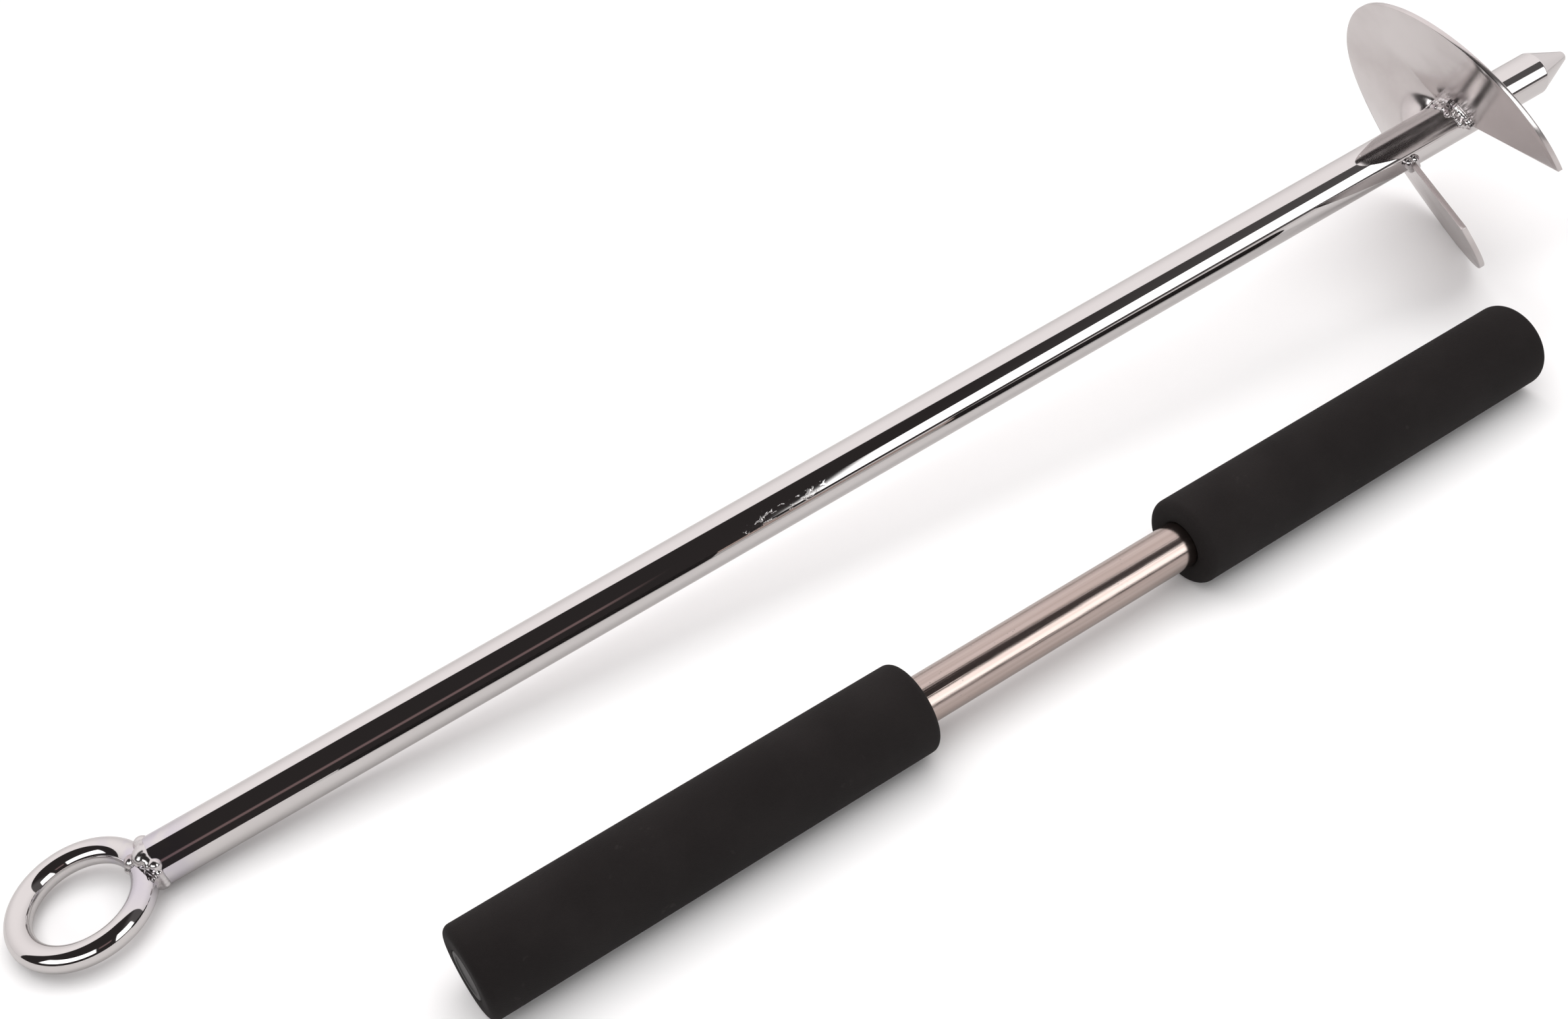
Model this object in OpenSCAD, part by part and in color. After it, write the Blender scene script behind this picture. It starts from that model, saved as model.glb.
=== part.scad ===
// Screw-in ground anchor with an eye ring, a split screw flight and a removable T-handle.
// The anchor lies on its ring end and on the rim of its flight, and the handle lies beside it.
// Millimetres. +Z is up, the floor is z = 0, and the shaft runs towards +X and climbs a little.

/* [Shaft] */
// Outside diameter of the shaft
shaft_d = 25.4; // [20:0.1:32]
// Wall thickness of the shaft tube
shaft_wall = 2; // [1.5:0.1:4]
// Distance from the ring's centre to the shoulder of the point
shoulder_s = 898.6; // [700:0.5:1000]
// Thickness of the disc that closes the tube behind the ring
cap_t = 4; // [3:0.5:6]

/* [Point] */
// Length of the cone of the point
cone_l = 25; // [15:0.5:40]
// Radius of the blunt nose of the point
nose_r = 3; // [2:0.1:5]
// Length of the point's shank that shows outside the tube
shank_l = 34; // [25:0.5:40]
// Width of the groove turned at the foot of the shank, where it meets the tube
groove_w = 1; // [0.5:0.1:2]
// Length of the point's spigot inside the tube
spigot_l = 22; // [10:0.5:40]

/* [Ring] */
// Diameter of the bar that the eye ring is bent from
ring_bar_d = 12.7; // [10:0.1:13]
// Radius of the eye ring at the middle of the bar
ring_r = 30.4; // [28:0.1:36]
// Leg of the weld between the ring and the shaft
ring_weld_leg = 5; // [3:0.5:6]
// How far that weld stands proud of the tube
weld_lap = 1.2; // [0.5:0.1:2]

/* [Flight] */
// Outside radius of the flight
flight_r = 80.5; // [65:0.5:90]
// Thickness of the flight's plate
flight_t = 3; // [2:0.5:4]
// Place along the shaft of the leading half of the flight
lead_s = 842; // [835:1:848]
// Place along the shaft of the trailing half of the flight
trail_s = 800; // [790:1:806]
// Slope of the leading half against a square-on disc
lead_slope = 0.413; // [0.3:0.01:0.45]
// Slope of the trailing half against a square-on disc
trail_slope = 0.62; // [0.5:0.01:0.65]
// Leg of the welds between the flight and the shaft
flight_weld_leg = 4; // [2:0.5:6]

/* [Handle] */
// Outside diameter of the handle tube
handle_d = 24; // [22:0.1:28]
// Wall thickness of the handle tube
handle_wall = 1.5; // [1:0.1:2.5]
// Length of the handle from end to end
handle_l = 636; // [500:1:700]
// Length of each foam grip
grip_l = 236; // [150:1:280]
// Outside diameter of the foam grips
grip_d = 46; // [40:0.1:48]
// Radius of the rounded edges of the grips
grip_round = 4; // [2:0.5:8]
// Turn of the handle against the shaft, seen from above
handle_turn = 3.4; // [0:0.1:5]
// Distance from the ring's centre to the handle's middle, along the shaft
handle_x = 448.2; // [400:0.1:500]
// Distance from the shaft's line to the handle's middle, sideways
handle_y = 138.8; // [130:0.1:200]

/* [Hidden] */
$fn = 96;

steel = "lightgray";
bright_steel = "silver";
weld_steel = "gainsboro";
foam = "dimgray";
plug_black = "black";

shaft_r = shaft_d / 2;
bore_r = shaft_r - shaft_wall;
bar_r = ring_bar_d / 2;
// Where the square end of the tube meets the outside of the ring
tube_start = ring_r + bar_r * 0.6;
tube_end = shoulder_s - shank_l;
apex_s = shoulder_s + cone_l;

// The flight is a disc slit along one radius and bent into two flat halves that lean apart.
// Angles are turned from +Y towards +Z about the shaft. The slit is on the -Y side.
slit_a = 178.5;
lead_lean_a = 277.2;
trail_lean_a = 309.2;
// The halves run into each other over these angles, on the side away from the slit
bend_from_a = 305;
bend_to_a = 408;
flight_steps = 96;
radial_steps = 8;
// The hole's radius clears the flat facets of the plate's inner edge
flight_hole_r = shaft_r / cos(180 / flight_steps) + 0.02;
// The welds stand this far off the plate
weld_gap = 0.05;

function ease(x) = let (t = min(max(x, 0), 1)) t * t * (3 - 2 * t);
function lead_plane(r, a) = lead_s + r * lead_slope * cos(a - lead_lean_a);
function trail_plane(r, a) = trail_s + r * trail_slope * cos(a - trail_lean_a);
function bend(a) = ease((a - bend_from_a) / (bend_to_a - bend_from_a));
// Place along the shaft of the middle of the plate, at radius r and angle a
function plate_s(r, a) = trail_plane(r, a) * (1 - bend(a)) + lead_plane(r, a) * bend(a);
// Half the plate's thickness measured along the shaft, which grows with the slope of the plate
slope_a = 0.5;
function plate_rise_r(r, a) = (plate_s(r + slope_a, a) - plate_s(r - slope_a, a)) / (2 * slope_a);
function plate_rise_a(r, a) =
    (plate_s(r, a + slope_a) - plate_s(r, a - slope_a)) / (2 * slope_a * PI / 180 * r);
function half_t(r, a) =
    flight_t / 2 * sqrt(1 + pow(plate_rise_r(r, a), 2) + pow(plate_rise_a(r, a), 2));
function step_a(i) = slit_a + 360 * i / flight_steps;
// The first row of facets is as wide as the weld, so that the weld's facets lie flat on them
first_row_r = flight_hole_r + flight_weld_leg;
function step_r(j) = j == 0 ? flight_hole_r :
    first_row_r + (flight_r - first_row_r) * (j - 1) / (radial_steps - 1);
function plate_point(r, a, side, off = 0) =
    [plate_s(r, a) + side * (half_t(r, a) + off), r * cos(a), r * sin(a)];

// The anchor rests on the underside of the weld round its ring end, and on the lowest corner of
// the flight's rim, which is a quarter turn from the slit
weld_r = shaft_r + weld_lap;
weld_start = tube_start - 0.5;
low_rim_a = slit_a + 90;
low_rim_r = -flight_r * sin(low_rim_a);
low_rim_s = plate_s(flight_r, low_rim_a) - half_t(flight_r, low_rim_a);
climb_a = atan((low_rim_r - weld_r) / (low_rim_s - weld_start));
ring_up = weld_r * cos(climb_a) - weld_start * sin(climb_a);

grip_r = grip_d / 2;
handle_r = handle_d / 2;
plug_flange = 3;
plug_depth = 18;
tube_half = handle_l / 2 - plug_flange;
// The whole part's box is centred on the origin
box_min_x = -(ring_r * cos(climb_a) + bar_r);
box_max_x = apex_s * cos(climb_a) + nose_r * sin(climb_a);
box_min_y = -(handle_y + handle_l / 2 * sin(handle_turn) + grip_r * cos(handle_turn));
box_max_y = flight_r;
shift_x = -(box_min_x + box_max_x) / 2;
shift_y = -(box_min_y + box_max_y) / 2;

// Puts a shape drawn along +X from the ring's centre into its place on the floor
module on_anchor() {
    translate([shift_x, shift_y, ring_up])
        rotate([0, -climb_a, 0])
            children();
}

// Puts a shape drawn along +X about the handle's middle into its place on the floor
module on_handle() {
    translate([shift_x + handle_x, shift_y - handle_y, grip_r])
        rotate([0, 0, handle_turn])
            children();
}

// A profile of [radius, place] points turned about the X axis
module turned(profile) {
    rotate([0, 90, 0])
        rotate_extrude()
            polygon(profile);
}

module ring_solid(r) {
    rotate_extrude()
        translate([ring_r, 0])
            circle(r = r);
}

module eye_ring() {
    color(bright_steel)
        on_anchor()
            ring_solid(bar_r);
}

// The weld fills the corner between the bar and the tube's mouth and laps a little over the tube
module ring_weld() {
    color(weld_steel)
        on_anchor()
            difference() {
                turned([
                    [0, tube_start - ring_weld_leg * 0.7],
                    [shaft_r - 3, tube_start - ring_weld_leg * 0.7],
                    [weld_r, weld_start],
                    [weld_r, weld_start + 1.5],
                    [shaft_r, tube_start + ring_weld_leg],
                    [0, tube_start + ring_weld_leg]
                ]);
                ring_solid(bar_r);
                translate([tube_start, 0, 0])
                    rotate([0, 90, 0])
                        cylinder(r = shaft_r, h = ring_weld_leg + 1);
            }
}

module shaft_end_cap() {
    color(steel)
        on_anchor()
            difference() {
                translate([tube_start, 0, 0])
                    rotate([0, 90, 0])
                        cylinder(r = bore_r, h = cap_t + bar_r);
                ring_solid(bar_r);
            }
}

module shaft_tube() {
    color(bright_steel)
        on_anchor()
            difference() {
                translate([tube_start, 0, 0])
                    rotate([0, 90, 0])
                        difference() {
                            cylinder(r = shaft_r, h = tube_end - tube_start);
                            translate([0, 0, -1])
                                cylinder(r = bore_r, h = tube_end - tube_start + 2);
                        }
                ring_solid(bar_r);
            }
}

module point() {
    nose_rise = nose_r * 0.45;
    color(bright_steel)
        on_anchor()
            turned([
                [0, tube_end - spigot_l],
                [bore_r - 1, tube_end - spigot_l],
                [bore_r, tube_end - spigot_l + 1],
                [bore_r, tube_end],
                [shaft_r - groove_w, tube_end],
                [shaft_r - groove_w, tube_end + groove_w],
                [shaft_r, tube_end + groove_w],
                [shaft_r, shoulder_s],
                [nose_r, apex_s - nose_rise],
                [nose_r * 0.6, apex_s - nose_rise * 0.3],
                [0, apex_s]
            ]);
}

// The plate's points go row by row: round the slit disc, and outwards along each radius
module flight() {
    row = radial_steps + 1;
    face = row * (flight_steps + 1);
    points = concat(
        [for (i = [0:flight_steps]) for (j = [0:radial_steps]) plate_point(step_r(j), step_a(i), -1)],
        [for (i = [0:flight_steps]) for (j = [0:radial_steps]) plate_point(step_r(j), step_a(i), 1)]
    );
    ring_side = [for (i = [0:flight_steps - 1]) for (j = [0:radial_steps - 1])
        let (p = i * row + j) each [[p, p + 1, p + row + 1], [p, p + row + 1, p + row]]];
    point_side = [for (i = [0:flight_steps - 1]) for (j = [0:radial_steps - 1])
        let (p = face + i * row + j) each [[p, p + row + 1, p + 1], [p, p + row, p + row + 1]]];
    hole_edge = [for (i = [0:flight_steps - 1])
        let (p = i * row, q = face + i * row) each [[p, p + row, q + row], [p, q + row, q]]];
    rim_edge = [for (i = [0:flight_steps - 1])
        let (p = i * row + radial_steps, q = face + p) each [[p, q + row, p + row], [p, q, q + row]]];
    first_cut = [for (j = [0:radial_steps - 1])
        let (p = j, q = face + j) each [[p, q + 1, p + 1], [p, q, q + 1]]];
    last_cut = [for (j = [0:radial_steps - 1])
        let (p = flight_steps * row + j, q = face + p) each [[p, p + 1, q + 1], [p, q + 1, q]]];
    color(steel)
        on_anchor()
            polyhedron(points, concat(ring_side, point_side, hole_edge, rim_edge, first_cut, last_cut));
}

// A fillet weld of three-sided section along the foot of the plate, on one side of it
module flight_weld(side) {
    function foot_point(a) = plate_point(step_r(0), a, side, weld_gap);
    function plate_toe(a) = plate_point(step_r(1), a, side, weld_gap);
    function shaft_toe(a) = foot_point(a) + [side * flight_weld_leg, 0, 0];
    points = [for (i = [0:flight_steps]) let (a = step_a(i)) each [foot_point(a), plate_toe(a), shaft_toe(a)]];
    sides = [for (i = [0:flight_steps - 1]) for (j = [0:2])
        let (p = 3 * i + j, q = 3 * i + (j + 1) % 3) each [[p, q, q + 3], [p, q + 3, p + 3]]];
    last = 3 * flight_steps;
    ends = [[0, 2, 1], [last, last + 1, last + 2]];
    faces = concat(sides, ends);
    polyhedron(points, [for (f = faces) side < 0 ? f : [f[0], f[2], f[1]]]);
}

module flight_weld_ring_side() {
    color(weld_steel)
        on_anchor()
            flight_weld(-1);
}

module flight_weld_point_side() {
    color(weld_steel)
        on_anchor()
            flight_weld(1);
}

module handle_tube() {
    color(bright_steel)
        on_handle()
            translate([-tube_half, 0, 0])
                rotate([0, 90, 0])
                    difference() {
                        cylinder(r = handle_r, h = 2 * tube_half);
                        translate([0, 0, -1])
                            cylinder(r = handle_r - handle_wall, h = 2 * tube_half + 2);
                    }
}

// A push-in plug with a flange, drawn for the end at +X
module end_plug() {
    inner_r = handle_r - handle_wall;
    flange_r = handle_r - 0.1;
    turned([
        [0, tube_half - plug_depth],
        [inner_r - 1.5, tube_half - plug_depth],
        [inner_r, tube_half - plug_depth + 3],
        [inner_r, tube_half],
        [flange_r, tube_half],
        [flange_r, tube_half + plug_flange - 1],
        [flange_r - 1, tube_half + plug_flange],
        [0, tube_half + plug_flange]
    ]);
}

module left_end_plug() {
    color(plug_black)
        on_handle()
            mirror([1, 0, 0])
                end_plug();
}

module right_end_plug() {
    color(plug_black)
        on_handle()
            end_plug();
}

// A foam sleeve with rounded edges, drawn for the end at +X
module grip() {
    inner = handle_l / 2 - grip_l;
    outer = handle_l / 2;
    rotate([0, 90, 0])
        rotate_extrude()
            difference() {
                union() {
                    translate([0, inner + grip_round])
                        square([grip_r, grip_l - 2 * grip_round]);
                    translate([0, inner])
                        square([grip_r - grip_round, grip_l]);
                    translate([grip_r - grip_round, inner + grip_round])
                        circle(r = grip_round);
                    translate([grip_r - grip_round, outer - grip_round])
                        circle(r = grip_round);
                }
                translate([-1, inner - 1])
                    square([handle_r + 1, grip_l + 2]);
            }
}

module left_grip() {
    color(foam)
        on_handle()
            mirror([1, 0, 0])
                grip();
}

module right_grip() {
    color(foam)
        on_handle()
            grip();
}

eye_ring();
ring_weld();
shaft_end_cap();
shaft_tube();
flight();
flight_weld_ring_side();
flight_weld_point_side();
point();
handle_tube();
left_end_plug();
right_end_plug();
left_grip();
right_grip();
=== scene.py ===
"""A screw-in ground anchor and its loose T-handle, dressed and lit on a pale studio floor.

Lengths are in millimetres until a piece is put in its place, and in metres from then on. The anchor
is modelled along X from the centre of its eye ring, and the handle along X about its middle.
"""

from __future__ import annotations

import logging
import math
import random
from dataclasses import dataclass, field
from enum import Enum
from typing import Callable, Mapping, Sequence, Union

import bpy
from mathutils import Matrix, Vector


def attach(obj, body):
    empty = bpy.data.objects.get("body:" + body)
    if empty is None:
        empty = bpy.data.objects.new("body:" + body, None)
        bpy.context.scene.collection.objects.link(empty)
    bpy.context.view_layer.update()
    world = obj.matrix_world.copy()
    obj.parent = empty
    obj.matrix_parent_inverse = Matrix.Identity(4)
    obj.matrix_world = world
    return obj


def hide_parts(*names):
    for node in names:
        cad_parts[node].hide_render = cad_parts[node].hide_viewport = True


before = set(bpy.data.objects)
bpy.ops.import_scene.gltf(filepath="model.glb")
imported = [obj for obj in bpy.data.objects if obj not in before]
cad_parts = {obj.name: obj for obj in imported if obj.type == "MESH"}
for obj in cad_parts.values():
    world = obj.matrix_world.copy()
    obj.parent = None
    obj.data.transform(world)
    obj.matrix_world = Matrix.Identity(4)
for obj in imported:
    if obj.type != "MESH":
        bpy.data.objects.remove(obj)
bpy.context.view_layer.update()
MM = 0.001
PLATE_SHARP = 35.0
WELD_SHARP = 80.0
FOAM_SHARP = 60.0
LOG = logging.getLogger("anchor")

Colour = tuple[float, float, float]
Point = tuple[float, float, float]
Profile = list[tuple[float, float]]
Drop = tuple[Point, float]
Number = Union["Wire", float]


class Body(Enum):
    """The two bodies that the pieces ride on."""

    ANCHOR = "anchor"
    HANDLE = "handle"


class Slot(Enum):
    """The material slots that pieces take their finish from."""

    POLISHED_STEEL = "polished_steel"
    PLATE_STEEL = "plate_steel"
    WELD_STEEL = "weld_steel"
    BRUSHED_TUBE = "brushed_tube"
    PLUG_PLASTIC = "plug_plastic"
    GRIP_FOAM = "grip_foam"


class Side(Enum):
    """The two sides of the flight's plate, along the shaft."""

    RING = -1
    POINT = 1


class End(Enum):
    """The two ends of the handle."""

    LEFT = -1
    RIGHT = 1


# ---------------------------------------------------------------- shader wiring


class Wire:
    """One socket of a node tree, which takes part in sums as a number does."""

    def __init__(self, wiring: "Wiring", socket: bpy.types.NodeSocket | None) -> None:
        """Keeps the socket and the wiring that it is part of.

        Args:
            wiring: the wiring that new nodes are added to.
            socket: the output socket that this wire starts from; an output node has none.
        """
        self.wiring = wiring
        self.socket = socket

    def _sum(self, operation: str, first: Number, second: Number) -> "Wire":
        """Adds a Math node on two numbers and returns its result."""
        return self.wiring.add("ShaderNodeMath", {"operation": operation}, {0: first, 1: second})

    def __add__(self, other: Number) -> "Wire":
        """self + other."""
        return self._sum("ADD", self, other)

    def __radd__(self, other: Number) -> "Wire":
        """other + self."""
        return self._sum("ADD", other, self)

    def __sub__(self, other: Number) -> "Wire":
        """self - other."""
        return self._sum("SUBTRACT", self, other)

    def __rsub__(self, other: Number) -> "Wire":
        """other - self."""
        return self._sum("SUBTRACT", other, self)

    def __mul__(self, other: Number) -> "Wire":
        """self * other."""
        return self._sum("MULTIPLY", self, other)

    def __rmul__(self, other: Number) -> "Wire":
        """other * self."""
        return self._sum("MULTIPLY", other, self)

    def __truediv__(self, other: Number) -> "Wire":
        """self / other."""
        return self._sum("DIVIDE", self, other)

    def __neg__(self) -> "Wire":
        """-self."""
        return self._sum("MULTIPLY", self, -1.0)

    def most(self, other: Number) -> "Wire":
        """The larger of this and another number."""
        return self._sum("MAXIMUM", self, other)

    def rise(self, low: float, high: float) -> "Wire":
        """Goes smoothly from 0 at low to 1 at high.

        Args:
            low: the value that gives 0.
            high: the value that gives 1.

        Returns:
            The wire that carries the share.
        """
        return self.wiring.add(
            "ShaderNodeMapRange",
            {"interpolation_type": "SMOOTHSTEP"},
            {"Value": self, "From Min": low, "From Max": high},
        )

    def window(self, low: float, high: float, soft: float) -> "Wire":
        """Is 1 between two values and fades to 0 outside them.

        Args:
            low: where the window starts.
            high: where the window ends.
            soft: the width of each fade.

        Returns:
            The wire that carries the share.
        """
        return self.rise(low - soft, low) * (1.0 - self.rise(high, high + soft))


class Wiring:
    """Adds nodes to one node tree."""

    def __init__(self, tree: bpy.types.NodeTree) -> None:
        """Empties the tree and keeps it."""
        self.tree = tree
        tree.nodes.clear()

    def add(
        self,
        kind: str,
        settings: Mapping[str, object] | None = None,
        values: Mapping[int | str, object] | None = None,
        out: int | str = 0,
    ) -> Wire:
        """Adds a node, makes its settings and then fills its sockets.

        Args:
            kind: the node's type.
            settings: the node's own settings.
            values: numbers, colours, vectors or wires, by socket.
            out: the output that the answer stands for.

        Returns:
            The wire that starts at that output.
        """
        node = self.tree.nodes.new(kind)
        for name, setting in (settings or {}).items():
            setattr(node, name, setting)
        for name, value in (values or {}).items():
            if isinstance(value, Wire):
                self.tree.links.new(value.socket, node.inputs[name])
            else:
                node.inputs[name].default_value = value
        return Wire(self, node.outputs[out] if node.outputs else None)

    def output(self, wire: Wire, name: str) -> Wire:
        """Another output of the node that a wire starts at."""
        return Wire(self, wire.socket.node.outputs[name])

    def parts(self, vector: Wire) -> tuple[Wire, Wire, Wire]:
        """The three numbers of a vector."""
        x = self.add("ShaderNodeSeparateXYZ", None, {0: vector}, "X")
        return x, self.output(x, "Y"), self.output(x, "Z")

    def join(self, x: Number, y: Number, z: Number) -> Wire:
        """A vector from three numbers."""
        return self.add("ShaderNodeCombineXYZ", None, {0: x, 1: y, 2: z})

    def mix(self, share: Number, first: object, second: object) -> Wire:
        """A colour between two colours.

        Args:
            share: 0 for the first colour and 1 for the second.
            first: a colour of three numbers, or a wire.
            second: a colour of three numbers, or a wire.

        Returns:
            The wire that carries the mixed colour.
        """
        first, second = (c if isinstance(c, Wire) else (*c, 1.0) for c in (first, second))
        return self.add(
            "ShaderNodeMix", {"data_type": "RGBA"}, {0: share, 6: first, 7: second}, 2
        )

    def noise(self, place: Wire, scale: float, detail: float = 2.0, rough: float = 0.5) -> Wire:
        """Cloudy noise from 0 to 1.

        Args:
            place: where on the piece it is read.
            scale: how many clouds there are in a metre.
            detail: how many finer layers it has.
            rough: how strong the finer layers are.

        Returns:
            The wire that carries the noise.
        """
        return self.add(
            "ShaderNodeTexNoise",
            None,
            {"Vector": place, "Scale": scale, "Detail": detail, "Roughness": rough},
        )

    def streaks(
        self, place: Wire, scales: Point, detail: float = 2.0, rough: float = 0.5
    ) -> Wire:
        """Noise that is drawn out along some axes.

        Args:
            place: where on the piece it is read.
            scales: how many streaks there are in a metre along X, Y and Z.
            detail: how many finer layers it has.
            rough: how strong the finer layers are.

        Returns:
            The wire that carries the noise.
        """
        stretched = self.join(*(part * scale for part, scale in zip(self.parts(place), scales)))
        return self.noise(stretched, 1.0, detail, rough)

    def cells(self, place: Wire, scale: float) -> Wire:
        """The distance to the nearest of many scattered points, for pits and foam cells."""
        return self.add("ShaderNodeTexVoronoi", None, {"Vector": place, "Scale": scale}, "Distance")

    def bump(self, height: Wire, depth: float, strength: float = 1.0) -> Wire:
        """A bumped normal.

        Args:
            height: the height, from 0 to 1.
            depth: what a height of 1 stands for, in metres.
            strength: how much of the bump is used.

        Returns:
            The wire that carries the normal.
        """
        return self.add(
            "ShaderNodeBump", None, {"Height": height, "Distance": depth, "Strength": strength}
        )


@dataclass(frozen=True)
class Place:
    """Where a sub-assembly lies: a shift in metres and a turn in radians."""

    shift: Point
    turn: Point

    @property
    def matrix(self) -> Matrix:
        """The matrix that puts a piece modelled in millimetres into its place."""
        rotate = Matrix.Rotation(self.turn[2], 4, "Z") @ Matrix.Rotation(self.turn[1], 4, "Y")
        return Matrix.Translation(self.shift) @ rotate @ Matrix.Scale(MM, 4)


@dataclass(frozen=True)
class Finish:
    """What every finish shares: a plain surface with a colour and a roughness."""

    name: str
    colour: Colour
    roughness: float
    metallic: float = 1.0

    def material(self, place: Place) -> bpy.types.Material:
        """Makes the finish's material.

        Args:
            place: where the sub-assembly lies, so that patterns run along it.

        Returns:
            The new material.
        """
        made = bpy.data.materials.new(self.name)
        made.use_nodes = True
        wiring = Wiring(made.node_tree)
        shader = wiring.add(
            "ShaderNodeBsdfPrincipled",
            None,
            {
                "Base Color": (*self.colour, 1.0),
                "Roughness": self.roughness,
                "Metallic": self.metallic,
            },
        )
        wiring.add("ShaderNodeOutputMaterial", None, {"Surface": shader})
        coordinates = wiring.add("ShaderNodeTexCoord", None, None, "Object")
        local = wiring.add(
            "ShaderNodeMapping",
            {"vector_type": "TEXTURE"},
            {"Vector": coordinates, "Location": place.shift, "Rotation": place.turn},
        )
        self.dress(wiring, shader.socket.node, local)
        return made

    def dress(self, wiring: Wiring, shader: bpy.types.Node, local: Wire) -> None:
        """Adds what changes over the surface; a plain finish adds nothing.

        Args:
            wiring: the material's wiring.
            shader: its surface shader.
            local: the place on the sub-assembly in metres, from the ring's centre or from the
                handle's middle.
        """

    @staticmethod
    def feed(wiring: Wiring, shader: bpy.types.Node, **wires: Wire) -> None:
        """Links wires to the shader's sockets, named with _ for a space."""
        for name, wire in wires.items():
            socket = shader.inputs[name.replace("_", " ").title()]
            wiring.tree.links.new(wire.socket, socket)


@dataclass(frozen=True)
class MirrorSteel(Finish):
    """Mirror-polished stainless steel with fine scuffs and a patch of pits.

    Places are in metres from the ring's centre, and angles in degrees about the shaft from Y to Z.
    """

    name: str = "mirror_polished_steel"
    colour: Colour = (0.72, 0.70, 0.695)
    roughness: float = 0.035
    smear_roughness: float = 0.05
    pit_roughness: float = 0.08
    heat_tint: Colour = (0.50, 0.46, 0.62)
    heat_share: float = 0.35
    heat_middle: Point = (0.031, 0.0, 0.006)
    heat_from: float = 0.040
    heat_to: float = 0.014
    line_scales: Point = (6.0, 900.0, 900.0)
    smear_scales: Point = (18.0, 90.0, 90.0)
    flake_scales: Point = (170.0, 380.0, 380.0)
    speck_scale: float = 110.0
    pits_from: float = 0.366
    pits_to: float = 0.396
    pits_fade: float = 0.012
    pits_angle: float = 149.0
    pits_spread: float = 6.0
    pits_reach: float = 2.2
    shaft_radius: float = 0.0127
    relief: float = 0.00012

    def heat(self, wiring: Wiring, local: Wire) -> Wire:
        """The share of heat tint, which fades out away from the ring's weld."""
        distance = wiring.add(
            "ShaderNodeVectorMath",
            {"operation": "DISTANCE"},
            {0: local, 1: self.heat_middle},
            "Value",
        )
        smoky = wiring.noise(local, 60.0, 3.0).rise(0.40, 0.62)
        return (1.0 - distance.rise(self.heat_to, self.heat_from)) * smoky * self.heat_share

    def pits(self, wiring: Wiring, local: Wire) -> Wire:
        """The flaky pits, in one patch halfway along the shaft."""
        x, y, z = wiring.parts(local)
        angle = math.radians(self.pits_angle)
        facing = (y * math.cos(angle) + z * math.sin(angle)) / self.shaft_radius
        patch = x.window(self.pits_from, self.pits_to, self.pits_fade) * facing.rise(
            math.cos(math.radians(self.pits_spread * self.pits_reach)),
            math.cos(math.radians(self.pits_spread)),
        )
        return wiring.streaks(local, self.flake_scales, 3.0, 0.6).rise(0.54, 0.60) * patch

    def dress(self, wiring: Wiring, shader: bpy.types.Node, local: Wire) -> None:
        """Adds heat tint near the ring's weld, polishing lines, smears, specks and pits."""
        lines = wiring.streaks(local, self.line_scales, 3.0)
        smears = wiring.streaks(local, self.smear_scales, 4.0, 0.6).rise(0.5, 0.8)
        pits = self.pits(wiring, local)
        specks = 1.0 - wiring.cells(local, self.speck_scale).rise(0.03, 0.07)
        sparse = wiring.noise(local, 24.0, 2.0).rise(0.55, 0.62)
        height = lines * 0.02 + pits * 0.8 + specks * sparse * 0.5
        self.feed(
            wiring,
            shader,
            base_color=wiring.mix(self.heat(wiring, local), self.colour, self.heat_tint),
            roughness=self.roughness + smears * self.smear_roughness + pits * self.pit_roughness,
            normal=wiring.bump(height, self.relief),
        )


@dataclass(frozen=True)
class PlateSteel(Finish):
    """Satin-polished plate, with faint cloudy wear and fine lines."""

    name: str = "satin_plate_steel"
    colour: Colour = (0.70, 0.665, 0.66)
    worn_colour: Colour = (0.64, 0.60, 0.595)
    roughness: float = 0.18
    worn_roughness: float = 0.09
    cloud_scale: float = 35.0
    grain_scales: Point = (300.0, 1500.0, 260.0)
    relief: float = 0.00002

    def dress(self, wiring: Wiring, shader: bpy.types.Node, local: Wire) -> None:
        """Adds cloudy wear and fine polishing lines."""
        clouds = wiring.noise(local, self.cloud_scale, 4.0, 0.6)
        grain = wiring.streaks(local, self.grain_scales)
        self.feed(
            wiring,
            shader,
            base_color=wiring.mix(clouds.rise(0.35, 0.75), self.colour, self.worn_colour),
            roughness=self.roughness + clouds.rise(0.4, 0.8) * self.worn_roughness,
            normal=wiring.bump(grain * 0.6 + clouds * 0.4, self.relief),
        )


@dataclass(frozen=True)
class WeldSteel(Finish):
    """Bright weld metal, with a little heat colour."""

    name: str = "weld_steel"
    colour: Colour = (0.70, 0.68, 0.68)
    roughness: float = 0.10
    smoky_roughness: float = 0.16
    heat_tint: Colour = (0.46, 0.40, 0.42)
    smoke_scale: float = 160.0
    ripple_scale: float = 900.0
    relief: float = 0.00002

    def dress(self, wiring: Wiring, shader: bpy.types.Node, local: Wire) -> None:
        """Adds heat colour, uneven gloss and fine ripples."""
        smoky = wiring.noise(local, self.smoke_scale, 3.0)
        ripples = wiring.noise(local, self.ripple_scale, 3.0)
        self.feed(
            wiring,
            shader,
            base_color=wiring.mix(smoky.rise(0.5, 0.75), self.colour, self.heat_tint),
            roughness=self.roughness + smoky * self.smoky_roughness,
            normal=wiring.bump(ripples, self.relief),
        )


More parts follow.
